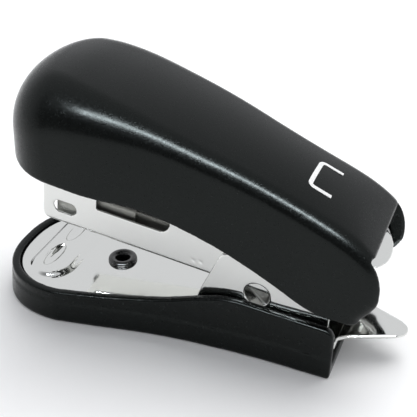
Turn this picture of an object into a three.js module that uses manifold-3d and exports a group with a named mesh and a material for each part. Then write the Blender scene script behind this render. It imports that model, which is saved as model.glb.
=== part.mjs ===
// A mini stapler for 26/6 staples, in millimetres, +Z up, with its nose towards -X and its hinge at +X.
// Stations along X are measured from the rear end of the base; the whole group is then moved so that
// the origin lies under the middle of the object's box.

import * as THREE from "three";
import { mergeVertices } from "three/addons/utils/BufferGeometryUtils.js";
import Module from "manifold-3d";

const wasm = await Module();
wasm.setup();

// ---------------------------------------------------------------- driving dimensions

const BASE_FRONT = -60; // station of the base's nose
const TONGUE_TIP = 9.6; // station of the staple remover's tip
const GAP = 0.3; // between pieces that don't move against each other
const FAR = 80; // reach of a cutting solid

const PIN = { x: 0.5, z: 15.3, radius: 1.5, halfLength: 8.7 };
const PIN_HOLE = 1.6; // radius of the holes that turn on the pin

const MAGAZINE_TILT = 7; // degrees, nose up, at rest
const HANDLE_TILT = 11; // degrees, of the handle's steel parts at rest

const BASE = {
  bottomHalf: [[12, 10.3], [0, 10.3], [-13, 10.0], [-30, 11.1], [-40, 12.9], [-46, 13.9]],
  nose: { station: -46, length: 14, power: 2.3 },
  rim: [[0, 8.8], [-10, 9.3], [-18, 9.7], [-23, 8.4], [-28, 7.0], [-34, 6.2], [-42, 5.7], [-60, 5.5]],
  crease: 3.7, // height of the edge where the sloping foot band ends
  band: 0.6, // how far the foot band stands out
  lean: 0.8, // inset of the wall at its rim
  wall: 1.35,
  floor: 2.0,
};

const PLATE = { bottom: 4.4, top: 5.0, padTop: 5.35 };
const PAD = { x: -50.5, length: 8.6, halfWidth: 9.8 };
const GROOVE = { x: -51.2, length: 6.5, width: 1.9, depth: 0.5, gap: 1.2 };
const EYELET = { x: -40, flange: 2.5, barrel: 1.6, bore: 1.1 };
const WING = { outer: 7.75, sheet: 0.42, ear: 3.3, holeX: -12.8, holeZ: 10.9, holeRadius: 2.1 };

const CHANNEL = {
  outer: 7.1, sheet: 0.5, bottom: -6.0, top: 4.4, front: -50.9, frontTop: 2.4, rear: 3.0,
  cornerRadius: 2.4, exit: -48.8,
};
const CHANNEL_SLOT = { x: -46.6, z: -2.6, length: 4.2, width: 2.2 };
const CHANNEL_WINDOW = { x0: -41, x1: -28.4, z0: -0.8, z1: 2.3 };

const RAIL = { outer: 5.5, sheet: 0.5, top: 0.1, front: -48.8, rear: -6.9, slotHalf: 1.2 };
const PUSHER = { front: -48.6, rear: -34.6, outer: 6.15, sheet: 0.5, top: 0.75, tabX: -36 };
const ROD = { radius: 0.6, z: -2.6, front: -48.0, rear: -6.2 };
const SPRING_COIL = { inner: 1.15, outer: 1.7, front: -35.0, rear: -7.0 };
const END_CAP = {
  top: 4.85, sheet: 0.5, half: 6.35, front: -6.6, neck: -1, tabHalf: 5.5, tabX: 1.6, tip: 4.65,
};

const BRACKET = { outer: 8.3, sheet: 0.4, bottom: 8.8, top: 9.4, front: -50.8, skirt: 4.8, ear: 3.6 };
const BLADE = { front: -49.9, thickness: 0.5, half: 6.2, tip: -2.3, top: 8.7, flangeRear: -43 };
const SCREW = { stations: [-35, -22], shank: 0.9, head: 1.7, headHeight: 0.9, length: 4.2 };
const POST = { outer: 2.1, bore: 1.15 };
const DRIVER_RIVET = { x: -46.5, shank: 1.0, head: 1.9, lower: 7.8, lowerHead: 8.15, upper: 10.0 };
const ROD_HOLE = 0.9; // half the side of the square holes round the guide rod

const COVER = {
  wallHalf: [
    [12, 9.6], [0, 9.6], [-10, 9.5], [-15, 9.8], [-20, 10.4], [-30, 11.5], [-38, 12.8], [-45, 13.3],
  ],
  nose: { station: -45, length: 9.9, power: 2.1 },
  ridge: [
    [12, 21.6], [0, 26.9], [-10, 31.2], [-20, 35.3], [-30, 38.9], [-38, 41.3], [-44, 42.5], [-50, 42.3],
    [-58, 40.2],
  ],
  shoulder: [[12, 2.4], [-15, 2.4], [-28, 3.2], [-38, 5.2], [-48, 7.6], [-58, 8.5]],
  crown: 1.2, // fall of the top from its ridge to its edges
  lean: 0.035, // outward slope of the walls, per millimetre down
  wall: 1.1,
  lowEdge: [
    [-62, 30.2], [-55, 28.8], [-49, 27.6], [-44, 26.7], [-40, 25.9], [-30, 24.4], [-20, 20.8], [-10, 15.4],
    [-4, 12.2], [1.5, 11.4], [8, 11.4],
  ],
  tail: [
    [5.2, 13.4], [6.2, 15.2], [6.4, 17.2], [6.2, 19.2], [5.5, 21.2], [4.25, 22.9], [2.2, 24.9], [-0.5, 27.2],
    [-4, 29.6],
  ],
  tailHalf: 10.05,
  notch: { x: 0.4, ceiling: 22.4 }, // the hollow's low ceiling at the open rear end
};

const MAGAZINE_SPRING = { half: 3.0, sheet: 0.4, foot: [-12.5, -7.5], tip: [-20.5, 11.0], rivetX: -10 };
const HANDLE_SPRING = { half: 3.0, sheet: 0.4, foot: [-26, -17], bend: [-8, 6.2], tip: [-3.5, 5.3] };
const TONGUE = { root: -0.5, shoulderX: 1.2, tipHalf: 2.3, halfAt: { root: 6.4, shoulder: 5.0 } };

// ---------------------------------------------------------------- materials

const FINISHES = {
  blackPlastic: { color: 0x26292a, roughness: 0.42, metalness: 0.0 },
  blackSteel: { color: 0x151617, roughness: 0.35, metalness: 0.4 },
  nickel: { color: 0xdcdfda, roughness: 0.2, metalness: 1.0 },
  steel: { color: 0xb4b6b5, roughness: 0.35, metalness: 1.0 },
};

// ---------------------------------------------------------------- helpers

const radians = THREE.MathUtils.degToRad;

// A smooth curve through [station, value] points, as a function of the station.
function along(points) {
  const sorted = [...points].sort((a, b) => a[0] - b[0]);
  const slope = (i) => {
    const low = sorted[Math.max(i - 1, 0)];
    const high = sorted[Math.min(i + 1, sorted.length - 1)];
    return (high[1] - low[1]) / (high[0] - low[0]);
  };
  return (x) => {
    let i = sorted.findIndex((p) => p[0] > x) - 1;
    if (i === -2) i = sorted.length - 2;
    if (i < 0) i = 0;
    const [x0, y0] = sorted[i];
    const [x1, y1] = sorted[i + 1];
    const run = x1 - x0;
    const t = THREE.MathUtils.clamp((x - x0) / run, 0, 1);
    const a = 2 * t ** 3 - 3 * t ** 2 + 1;
    const b = t ** 3 - 2 * t ** 2 + t;
    const c = t ** 3 - t ** 2;
    return a * y0 + (1 - a) * y1 + b * run * slope(i) + c * run * slope(i + 1);
  };
}

// A closed geometry as a manifold-3d solid.
function solid(geometry) {
  const bare = new THREE.BufferGeometry();
  bare.setAttribute("position", geometry.getAttribute("position"));
  bare.setIndex(geometry.index);
  const merged = mergeVertices(bare, 1e-4);
  return new wasm.Manifold(
    new wasm.Mesh({
      numProp: 3,
      vertProperties: merged.attributes.position.array,
      triVerts: new Uint32Array(merged.index.array),
    }),
  );
}

function geometryOf(body) {
  const mesh = body.getMesh();
  const geometry = new THREE.BufferGeometry();
  geometry.setAttribute("position", new THREE.BufferAttribute(mesh.vertProperties, 3));
  geometry.setIndex(new THREE.BufferAttribute(mesh.triVerts, 1));
  geometry.computeVertexNormals();
  return geometry;
}

function piece(name, body, finish) {
  const mesh = new THREE.Mesh(geometryOf(body), new THREE.MeshStandardMaterial(FINISHES[finish]));
  mesh.name = name;
  return mesh;
}

const joined = (...bodies) => bodies.reduce((whole, body) => whole.add(body));

function block(x0, x1, y0, y1, z0, z1) {
  const geometry = new THREE.BoxGeometry(x1 - x0, y1 - y0, z1 - z0);
  geometry.translate((x0 + x1) / 2, (y0 + y1) / 2, (z0 + z1) / 2);
  return solid(geometry);
}

// A shape drawn in X and Z, as a plate from y0 to y1.
function plateAlongY(shape, y0, y1, curveSegments = 8) {
  const options = { depth: y1 - y0, bevelEnabled: false, curveSegments };
  const geometry = new THREE.ExtrudeGeometry(shape, options);
  geometry.rotateX(Math.PI / 2);
  geometry.translate(0, y1, 0);
  return solid(geometry);
}

// A shape drawn in X and Y, as a plate from z0 to z1.
function plateAlongZ(shape, z0, z1, curveSegments = 8) {
  const options = { depth: z1 - z0, bevelEnabled: false, curveSegments };
  const geometry = new THREE.ExtrudeGeometry(shape, options);
  geometry.translate(0, 0, z0);
  return solid(geometry);
}

function rodAlongY(x, z, radius, y0, y1, sides = 24) {
  const geometry = new THREE.CylinderGeometry(radius, radius, y1 - y0, sides);
  geometry.translate(x, (y0 + y1) / 2, z);
  return solid(geometry);
}

function rodAlongZ(x, y, radius, z0, z1, sides = 20) {
  const geometry = new THREE.CylinderGeometry(radius, radius, z1 - z0, sides);
  geometry.rotateX(Math.PI / 2);
  geometry.translate(x, y, (z0 + z1) / 2);
  return solid(geometry);
}

function polygon(points) {
  return new THREE.Shape(points.map(([x, y]) => new THREE.Vector2(x, y)));
}

// A slot with round ends, its length along the shape's first axis.
function obround(x, y, length, width) {
  const radius = width / 2;
  const reach = length / 2 - radius;
  const shape = new THREE.Shape();
  shape.moveTo(x - reach, y - radius);
  shape.lineTo(x + reach, y - radius);
  shape.absarc(x + reach, y, radius, -Math.PI / 2, Math.PI / 2);
  shape.lineTo(x - reach, y + radius);
  shape.absarc(x - reach, y, radius, Math.PI / 2, Math.PI * 1.5);
  return shape;
}

// A sheet that follows a line drawn in X and Z, with its thickness square to the line.
function strip(line, sheet, half) {
  const points = line.map(([x, z]) => new THREE.Vector2(x, z));
  const offset = points.map((point, i) => {
    const before = points[Math.max(i - 1, 0)];
    const after = points[Math.min(i + 1, points.length - 1)];
    const run = after.clone().sub(before).normalize();
    return new THREE.Vector2(point.x - run.y * sheet, point.y + run.x * sheet);
  });
  return plateAlongY(new THREE.Shape([...points, ...offset.reverse()]), -half, half);
}

// The same body on the other side of the plane of symmetry, added to it.
const bothSides = (body) => body.add(body.mirror([0, 1, 0]));

// ---------------------------------------------------------------- moulded shells

// A plan outline from the near rear corner, round the nose, to the far rear corner.
// Each point carries its inward direction.
function planOutline({ half, nose, rear, straight = 10, round = 8 }) {
  const side = [];
  for (let i = 0; i <= straight; i += 1) {
    const x = rear + ((nose.station - rear) * i) / straight;
    side.push(new THREE.Vector2(x, -half(x)));
  }
  for (let i = 1; i <= round; i += 1) {
    const turn = (Math.PI / 2) * (1 - i / round);
    const x = nose.station - nose.length * Math.cos(turn) ** (2 / nose.power);
    const y = i === round ? 0 : -half(nose.station) * Math.sin(turn) ** (2 / nose.power);
    side.push(new THREE.Vector2(x, y));
  }
  const mirrored = side.slice(0, -1).reverse().map((p) => new THREE.Vector2(p.x, -p.y));
  const points = [...side, ...mirrored];
  return points.map((point, i) => {
    const before = points[Math.max(i - 1, 0)];
    const after = points[Math.min(i + 1, points.length - 1)];
    const run = after.clone().sub(before).normalize();
    return { point, inward: new THREE.Vector2(run.y, -run.x) };
  });
}

// A solid between a flat bottom and a top surface: walls that go up through the levels, and a top
// made of rows from side to side. A level gives an inset and a height for each outline point.
function dome({ outline, levels, top, across = 8 }) {
  const rings = levels.map((level) =>
    outline.map(({ point, inward }) => {
      const inset = level.inset(point.x);
      const x = point.x + inward.x * inset;
      const y = Math.abs(point.y) < 1e-9 ? 0 : point.y + inward.y * inset;
      return [x, y, level.height(x, y)];
    }),
  );
  const count = outline.length;
  const middle = (count - 1) / 2;
  const positions = rings.flat(2);
  const at = (ring, i) => ring * count + i;
  const triangles = [];
  const quad = (a, b, c, d) => triangles.push(a, b, c, a, c, d);

  for (let ring = 0; ring + 1 < rings.length; ring += 1) {
    for (let i = 0; i + 1 < count; i += 1) {
      quad(at(ring, i), at(ring + 1, i), at(ring + 1, i + 1), at(ring, i + 1));
    }
  }

  // rows across a closing surface; each row runs from the near side to the far side
  const rowsOf = (ring, divisions, height) => {
    const rows = [];
    for (let i = 0; i < middle; i += 1) {
      const [x, near] = rings[ring][i];
      const row = [at(ring, i)];
      for (let k = 1; k < divisions; k += 1) {
        const y = near * (1 - (2 * k) / divisions);
        row.push(positions.length / 3);
        positions.push(x, y, height(x, y));
      }
      row.push(at(ring, count - 1 - i));
      rows.push(row);
    }
    return rows;
  };
  const close = (rows, tip, upward) => {
    const face = (a, b, c) => (upward ? triangles.push(a, b, c) : triangles.push(a, c, b));
    rows.forEach((row, i) => {
      const next = rows[i + 1];
      for (let k = 0; k + 1 < row.length; k += 1) {
        if (next) {
          face(row[k], row[k + 1], next[k + 1]);
          face(row[k], next[k + 1], next[k]);
        } else {
          face(row[k], row[k + 1], tip);
        }
      }
    });
  };
  const last = rings.length - 1;
  const topRows = rowsOf(last, across, top);
  close(topRows, at(last, middle), true);
  const bottomRows = rowsOf(0, 1, () => 0);
  close(bottomRows, at(0, middle), false);

  // the rear end, from the bottom up to the first row of the top
  for (let ring = 0; ring < last; ring += 1) {
    quad(at(ring, 0), at(ring, count - 1), at(ring + 1, count - 1), at(ring + 1, 0));
  }
  const rearRow = topRows[0];
  for (let k = 1; k + 1 < rearRow.length; k += 1) {
    triangles.push(rearRow[0], rearRow[k + 1], rearRow[k]);
  }

  const geometry = new THREE.BufferGeometry();
  geometry.setAttribute("position", new THREE.Float32BufferAttribute(positions, 3));
  geometry.setIndex(triangles);
  return solid(geometry);
}

const flat = (z) => () => z;

// ---------------------------------------------------------------- base

const basePlan = { half: along(BASE.bottomHalf), nose: BASE.nose, rear: 12 };

// The base's outer or inner form as straight-sided levels, between two heights.
function baseForm(levels) {
  return dome({
    outline: planOutline(basePlan),
    levels: levels.map(([inset, z]) => ({ inset: () => inset, height: flat(z) })),
    top: flat(levels.at(-1)[1]),
    across: 1,
  });
}

// What lies below the rim and in front of the rear end.
function baseSideProfile() {
  const corner = 1.6;
  const rim = along(BASE.rim);
  const shape = new THREE.Shape();
  shape.moveTo(0, 0);
  shape.lineTo(0, rim(0) - corner);
  shape.absarc(-corner, rim(0) - corner, corner, 0, Math.PI / 2);
  const stations = [-5, -10, -14, -18, -20.5, -23, -25.5, -28, -31, -34, -38, -42];
  stations.forEach((x) => shape.lineTo(x, rim(x)));
  shape.lineTo(-FAR, rim(-FAR));
  shape.lineTo(-FAR, 0);
  return shape;
}

function baseCover() {
  const { crease, band, lean, wall, floor } = BASE;
  const outside = baseForm([[0.5, 0], [0, 0.5], [band, crease], [lean, 14]]);
  const hollow = baseForm([[band + wall, floor], [lean + wall, 15]]);
  const shell = outside.intersect(plateAlongY(baseSideProfile(), -FAR, FAR)).subtract(hollow);
  const ribTop = PLATE.bottom - 0.1;
  const ribs = [-5.5, 5.5].map((y) => block(-50, -3, y - 0.5, y + 0.5, floor - GAP, ribTop));
  const crossRibs = [-50, -30, -10].map((x) => block(x - 0.5, x + 0.5, -7.4, 7.4, floor - GAP, ribTop));
  const boss = rodAlongZ(EYELET.x, 0, EYELET.barrel + 1.6, floor - GAP, ribTop);
  const bossBore = rodAlongZ(EYELET.x, 0, EYELET.barrel + 0.15, floor, ribTop + 1);
  return joined(shell, ...ribs, ...crossRibs, boss).subtract(bossBore);
}

function wingProfile() {
  const shape = new THREE.Shape();
  shape.moveTo(-25.5, PLATE.bottom);
  shape.quadraticCurveTo(-23.2, PLATE.top, -22.3, 9.2);
  shape.lineTo(-19.3, 15.8);
  shape.quadraticCurveTo(-18.6, 17.4, -16.8, 17.5);
  shape.lineTo(PIN.x, PIN.z + WING.ear);
  shape.absarc(PIN.x, PIN.z, WING.ear, Math.PI / 2, -Math.PI * 0.66, true);
  shape.lineTo(-1.6, PLATE.bottom);
  return shape;
}

function clinchGroove(side) {
  const bowl = new THREE.SphereGeometry(1, 14, 8);
  bowl.scale(GROOVE.width / 2, GROOVE.length / 2, GROOVE.depth);
  bowl.translate(GROOVE.x, side * (GROOVE.length + GROOVE.gap) / 2, PLATE.padTop);
  return solid(bowl);
}

function baseFrame() {
  const inset = BASE.lean + BASE.wall + 0.2;
  const sheet = baseForm([[inset, PLATE.bottom], [inset, PLATE.top]]);
  const trimmed = sheet.intersect(block(-FAR, 0, -FAR, FAR, 0, FAR));
  const padShape = obround(0, 0, PAD.halfWidth * 2, PAD.length);
  const pillow = plateAlongZ(padShape, PLATE.top - 0.2, PLATE.padTop, 10);
  const pad = pillow.rotate([0, 0, 90]).translate([PAD.x, 0, 0]);
  const wing = plateAlongY(wingProfile(), WING.outer - WING.sheet, WING.outer, 14);
  const wingHoles = rodAlongY(WING.holeX, WING.holeZ, WING.holeRadius, -FAR, FAR);
  const pinHoles = rodAlongY(PIN.x, PIN.z, PIN_HOLE, -FAR, FAR);
  const eyeletHole = rodAlongZ(EYELET.x, 0, EYELET.barrel + 0.15, 0, 9);
  return joined(trimmed, pad, bothSides(wing), tongue())
    .subtract(joined(wingHoles, pinHoles, eyeletHole, clinchGroove(-1), clinchGroove(1)));
}

function baseEyelet() {
  const { flange, barrel, bore, x } = EYELET;
  const bottom = BASE.floor + 0.2;
  const seat = PLATE.top + 0.05;
  const profile = [
    [bore, bottom], [barrel, bottom], [barrel, seat], [flange, seat], [flange - 0.2, seat + 0.45],
    [bore + 0.5, seat + 0.7], [bore, seat + 0.45], [bore, bottom],
  ];
  const geometry = new THREE.LatheGeometry(profile.map(([r, z]) => new THREE.Vector2(r, z)), 24);
  geometry.rotateX(Math.PI / 2);
  geometry.translate(x, 0, 0);
  return solid(geometry);
}

// The staple remover: a tapering tongue of the same sheet behind the base.
function tongue() {
  const { root, shoulderX, halfAt, tipHalf } = TONGUE;
  const shape = new THREE.Shape();
  shape.moveTo(root, -halfAt.root);
  shape.lineTo(shoulderX, -halfAt.shoulder);
  shape.lineTo(TONGUE_TIP - 1.9, -tipHalf);
  shape.quadraticCurveTo(TONGUE_TIP, -tipHalf + 0.5, TONGUE_TIP, 0);
  shape.quadraticCurveTo(TONGUE_TIP, tipHalf - 0.5, TONGUE_TIP - 1.9, tipHalf);
  shape.lineTo(shoulderX, halfAt.shoulder);
  shape.lineTo(root, halfAt.root);
  return plateAlongZ(shape, PLATE.bottom, PLATE.top);
}

function magazineSpring() {
  const { sheet, half, foot, tip } = MAGAZINE_SPRING;
  const floor = PLATE.top + 0.05;
  const line = [
    [tip[0] - 1.2, tip[1] - 0.5], tip, [tip[0] + 2.5, tip[1] - 0.7], [foot[0] - 1.2, floor + 1.2],
    [foot[0], floor], [foot[1], floor],
  ];
  return strip(line, sheet, half);
}

function magazineSpringRivet() {
  const radius = 1.3;
  const seat = PLATE.top + 0.1 + MAGAZINE_SPRING.sheet;
  const head = rodAlongZ(MAGAZINE_SPRING.rivetX, 0, radius, seat, seat + 0.4);
  const dome = rodAlongZ(MAGAZINE_SPRING.rivetX, 0, radius * 0.7, seat + 0.35, seat + 0.6);
  return head.add(dome);
}

// ---------------------------------------------------------------- magazine, in the pin's tilted frame

function channelProfile() {
  const { front, bottom, top, frontTop, rear, cornerRadius } = CHANNEL;
  const shape = new THREE.Shape();
  shape.moveTo(front, frontTop);
  shape.lineTo(front, bottom + cornerRadius);
  shape.quadraticCurveTo(front, bottom, front + cornerRadius, bottom);
  shape.lineTo(-4, bottom);
  shape.quadraticCurveTo(rear - 0.8, bottom + 0.6, rear, 0);
  shape.absarc(0, 0, rear, 0, Math.PI / 2);
  shape.lineTo(-3.5, top);
  shape.lineTo(front + 1.5, top);
  return shape;
}

function magazineChannel() {
  const { outer, sheet, bottom, front, frontTop, exit, cornerRadius } = CHANNEL;
  const wall = plateAlongY(channelProfile(), outer - sheet, outer, 12);
  const inner = outer - sheet + 0.05;
  const floor = block(exit, -2, -inner, inner, bottom, bottom + sheet);
  const frontWall = block(front, front + sheet, -inner, inner, bottom + cornerRadius, frontTop);
  const { x0, x1, z0, z1 } = CHANNEL_WINDOW;
  const windowShape = obround((x0 + x1) / 2, (z0 + z1) / 2, x1 - x0, z1 - z0);
  const squareEnd = block(x0, x0 + 3, -FAR, FAR, z0, z1);
  const slotShape = obround(CHANNEL_SLOT.x, CHANNEL_SLOT.z, CHANNEL_SLOT.length, CHANNEL_SLOT.width);
  const cuts = joined(
    plateAlongY(windowShape, -FAR, FAR),
    squareEnd,
    plateAlongY(slotShape, -FAR, FAR),
    rodAlongY(0, 0, PIN_HOLE, -FAR, FAR),
  );
  return joined(bothSides(wall), floor, frontWall).subtract(cuts);
}

function squareRodHole(x0, x1) {
  return block(x0, x1, -ROD_HOLE, ROD_HOLE, ROD.z - ROD_HOLE, ROD.z + ROD_HOLE);
}

function stapleRail() {
  const { outer, sheet, top, front, rear, slotHalf } = RAIL;
  const bottom = CHANNEL.bottom + CHANNEL.sheet + 0.05;
  const outside = block(front, rear, -outer, outer, bottom, top);
  const inside = block(front + sheet, rear + 1, -outer + sheet, outer - sheet, bottom - 1, top - sheet);
  const slot = block(front + 4, rear - 2, -slotHalf, slotHalf, top - 1, top + 1);
  const rodHole = squareRodHole(front - 1, front + 1);
  return outside.subtract(joined(inside, slot, rodHole));
}

function staplePusher() {
  const { front, rear, outer, sheet, top, tabX } = PUSHER;
  const outside = block(front, rear, -outer, outer, CHANNEL.bottom + 0.9, top);
  const saddle = block(front - 1, rear + 1, -outer + sheet, outer - sheet, CHANNEL.bottom, top - sheet);
  const tab = block(tabX, tabX + 0.7, -ROD_HOLE, ROD_HOLE, ROD.z + ROD_HOLE, top - 0.1);
  const yoke = block(tabX, tabX + 0.7, -2.2, 2.2, ROD.z - 2.2, ROD.z + 1.6);
  const rodHole = squareRodHole(tabX - 1, tabX + 2);
  return outside.subtract(saddle).add(tab).add(yoke).subtract(rodHole);
}

function guideRod() {
  const geometry = new THREE.CylinderGeometry(ROD.radius, ROD.radius, ROD.rear - ROD.front, 12);
  geometry.rotateZ(Math.PI / 2);
  geometry.translate((ROD.front + ROD.rear) / 2, 0, ROD.z);
  return solid(geometry);
}

function pusherSpring() {
  const { inner, outer, front, rear } = SPRING_COIL;
  const profile = [[inner, front], [outer, front], [outer, rear], [inner, rear], [inner, front]];
  const geometry = new THREE.LatheGeometry(profile.map(([r, x]) => new THREE.Vector2(r, x)), 16);
  geometry.rotateZ(-Math.PI / 2);
  geometry.translate(0, 0, ROD.z);
  return solid(geometry);
}

// A bright sheet over the rear of the magazine, with a flange down in front as the spring's seat and a
// rounded tab that stands out behind.
function railEndCap() {
  const { top, sheet, half, front, neck, tabHalf, tabX, tip } = END_CAP;
  const shape = new THREE.Shape();
  shape.moveTo(front, -half);
  shape.lineTo(neck - 1, -half);
  shape.lineTo(neck, -tabHalf);
  shape.lineTo(tabX, -tabHalf);
  shape.absellipse(tabX, 0, tip - tabX, tabHalf, -Math.PI / 2, Math.PI / 2, false, 0);
  shape.lineTo(neck, tabHalf);
  shape.lineTo(neck - 1, half);
  shape.lineTo(front, half);
  const seat = block(front, front + sheet, -half, half, CHANNEL.bottom + 1.2, top - 0.1);
  const rodHole = squareRodHole(front - 1, front + 1);
  return plateAlongZ(shape, top - sheet, top, 20).add(seat.subtract(rodHole));
}

// ---------------------------------------------------------------- handle

const coverPlan = { half: along(COVER.wallHalf), nose: COVER.nose, rear: 12, straight: 11, round: 8 };
const ridge = along(COVER.ridge);
const shoulder = along(COVER.shoulder);
const coverHalf = (x) => (x > COVER.nose.station ? coverPlan.half(x) : coverPlan.half(COVER.nose.station));

// The cover's form, moved inwards by a wall's thickness where that is asked for.
function coverForm(thickness) {
  const crest = (x, y) => ridge(x) - COVER.crown * (y / coverHalf(x)) ** 2 - thickness;
  const radius = (x) => Math.max(shoulder(x) - thickness, 0.6);
  const lean = (x, z) => COVER.lean * (z - ridge(x));
  const bends = [0, 25, 47, 68, 90].map(radians);
  const bottom = { inset: (x) => thickness + lean(x, 8), height: flat(8) };
  const levels = bends.map((bend) => ({
    inset: (x) => thickness + radius(x) * (1 - Math.cos(bend)),
    height: (x, y) => crest(x, y) - radius(x) * (1 - Math.sin(bend)),
  }));
  return dome({ outline: planOutline(coverPlan), levels: [bottom, ...levels], top: crest, across: 6 });
}

// What lies above the low edge.
function aboveLowEdge() {
  const low = along(COVER.lowEdge);
  const stations = [-55, -49, -44.5, -40, -35, -30, -25, -20, -15, -10, -7, -4, -1.5, 1.5];
  const edge = stations.map((x) => [x, low(x)]);
  return polygon([[-FAR, low(-62)], ...edge, [FAR, low(8)], [FAR, FAR], [-FAR, FAR]]);
}

// The tail: a plate with the outline of the rear end, rounded along its edges.
function tailForm() {
  const rounding = shoulder(0);
  const shape = new THREE.Shape();
  shape.moveTo(COVER.tail[0][0] - 2.2, 8);
  shape.lineTo(COVER.tail[0][0] - 1.2, COVER.tail[0][1] - 1.4);
  shape.splineThru(COVER.tail.map(([x, z]) => new THREE.Vector2(x, z)));
  shape.lineTo(-FAR, FAR);
  shape.lineTo(-FAR, 8);
  const geometry = new THREE.ExtrudeGeometry(shape, {
    depth: 2 * (COVER.tailHalf - rounding),
    bevelThickness: rounding,
    bevelSize: rounding,
    bevelOffset: -rounding,
    bevelSegments: 3,
    curveSegments: 3,
  });
  geometry.rotateX(Math.PI / 2);
  geometry.translate(0, COVER.tailHalf - rounding, 0);
  return solid(geometry);
}

// A screw post of the cover, square to the bracket.
function coverPost(station) {
  const start = BRACKET.top + 0.1;
  const post = rodAlongZ(station, 0, POST.outer, start, start + 14, 16);
  const bore = rodAlongZ(station, 0, POST.bore, start - 1, start + 3.6, 16);
  const place = (body) => body.rotate([0, HANDLE_TILT, 0]).translate([PIN.x, 0, PIN.z]);
  return { post: place(post), bore: place(bore) };
}

function topCover() {
  const untilTail = block(-FAR, -3, -FAR, FAR, 0, FAR).add(tailForm());
  const outside = coverForm(0).intersect(untilTail).intersect(plateAlongY(aboveLowEdge(), -FAR, FAR));
  const { x, ceiling } = COVER.notch;
  const hollow = coverForm(COVER.wall).subtract(block(x, FAR, -FAR, FAR, ceiling, FAR));
  const shell = outside.subtract(hollow);
  const posts = SCREW.stations.map(coverPost);
  const inside = coverForm(COVER.wall / 2);
  const fitted = posts.map(({ post }) => post.intersect(inside));
  return joined(shell, ...fitted).subtract(joined(...posts.map(({ bore }) => bore)));
}

function bracketProfile() {
  const { front, skirt, top, ear } = BRACKET;
  const shape = new THREE.Shape();
  shape.moveTo(front, top);
  shape.lineTo(front, skirt + 2);
  shape.lineTo(front + 2, skirt);
  shape.lineTo(-11, skirt);
  shape.lineTo(-ear * Math.cos(0.7), -ear * Math.sin(0.7));
  shape.absarc(0, 0, ear, Math.PI + 0.7, Math.PI * 2.35, false);
  shape.lineTo(-5.5, skirt + 1);
  shape.lineTo(-9.5, top);
  return shape;
}

const driverRivetHole = (z0, z1) => rodAlongZ(DRIVER_RIVET.x, 0, DRIVER_RIVET.shank + 0.2, z0, z1, 16);

function handleBracket() {
  const { outer, sheet, bottom, top, front } = BRACKET;
  const plate = block(front, -10, -outer, outer, bottom, top);
  const skirt = plateAlongY(bracketProfile(), outer - sheet, outer, 14);
  const pinHole = rodAlongY(0, 0, PIN_HOLE, -FAR, FAR);
  const screwHoles = SCREW.stations.map((x) => rodAlongZ(x, 0, SCREW.shank + 0.2, bottom - 1, top + 1, 16));
  const rivetHole = driverRivetHole(bottom - 1, top + 1);
  return joined(plate, bothSides(skirt)).subtract(joined(pinHole, rivetHole, ...screwHoles));
}

function driverBlade() {
  const { front, thickness, half, tip, top, flangeRear } = BLADE;
  const blade = block(front, front + thickness, -half, half, tip, top);
  const flange = block(front, flangeRear, -half, half, top - thickness, top);
  return blade.add(flange).subtract(driverRivetHole(top - 2, top + 1));
}

function driverRivet() {
  const { x, shank, head, lower, lowerHead, upper } = DRIVER_RIVET;
  return joined(
    rodAlongZ(x, 0, shank, lower, upper, 16),
    rodAlongZ(x, 0, head, BRACKET.top + 0.05, upper, 16),
    rodAlongZ(x, 0, head, lower, lowerHead, 16),
  );
}

function handleSpring() {
  const { sheet, half, foot, bend, tip } = HANDLE_SPRING;
  const level = BRACKET.bottom - 0.05 - sheet;
  const line = [
    [foot[0], level], [foot[1], level], [foot[1] + 3, level - 0.6], bend,
    tip, [tip[0] + 1.2, tip[1] + 0.5],
  ];
  const leaf = strip(line, sheet, half);
  return leaf.subtract(rodAlongZ(SCREW.stations[1], 0, SCREW.shank + 0.2, level - 1, level + 2, 16));
}

function bracketScrew(station) {
  const under = station === SCREW.stations[1] ? BRACKET.bottom - 0.1 - HANDLE_SPRING.sheet : BRACKET.bottom;
  const headTop = under - 0.05;
  const head = rodAlongZ(station, 0, SCREW.head, headTop - SCREW.headHeight, headTop, 16);
  const shank = rodAlongZ(station, 0, SCREW.shank, headTop - 0.1, headTop + SCREW.length, 16);
  const cross = joined(
    block(station - 1, station + 1, -0.2, 0.2, headTop - 2, headTop - 0.4),
    block(station - 0.2, station + 0.2, -1, 1, headTop - 2, headTop - 0.4),
  );
  return head.add(shank).subtract(cross);
}

// ---------------------------------------------------------------- assembly

const stapler = new THREE.Group();
stapler.position.x = -(BASE_FRONT + TONGUE_TIP) / 2;

const base = new THREE.Group();
base.add(
  piece("base_cover", baseCover(), "blackPlastic"),
  piece("base_frame", baseFrame(), "nickel"),
  piece("base_eyelet", baseEyelet(), "blackSteel"),
  piece("magazine_spring", magazineSpring(), "steel"),
  piece("magazine_spring_rivet", magazineSpringRivet(), "steel"),
  piece("hinge_pin", rodAlongY(PIN.x, PIN.z, PIN.radius, -PIN.halfLength, PIN.halfLength), "steel"),
);

const magazine = new THREE.Group();
magazine.position.set(PIN.x, 0, PIN.z);
magazine.rotation.y = radians(MAGAZINE_TILT);
magazine.add(
  piece("magazine_channel", magazineChannel(), "nickel"),
  piece("staple_rail", stapleRail(), "steel"),
  piece("pusher_guide_rod", guideRod(), "steel"),
  piece("pusher_spring", pusherSpring(), "steel"),
  piece("rail_end_cap", railEndCap(), "nickel"),
  piece("staple_pusher", staplePusher(), "nickel"),
);

const handleSteel = new THREE.Group();
handleSteel.position.set(PIN.x, 0, PIN.z);
handleSteel.rotation.y = radians(HANDLE_TILT);
handleSteel.add(
  piece("handle_bracket", handleBracket(), "steel"),
  piece("driver_blade", driverBlade(), "steel"),
  piece("driver_rivet", driverRivet(), "steel"),
  piece("handle_spring", handleSpring(), "steel"),
  piece("bracket_screw_front", bracketScrew(SCREW.stations[0]), "steel"),
  piece("bracket_screw_rear", bracketScrew(SCREW.stations[1]), "steel"),
);

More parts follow.
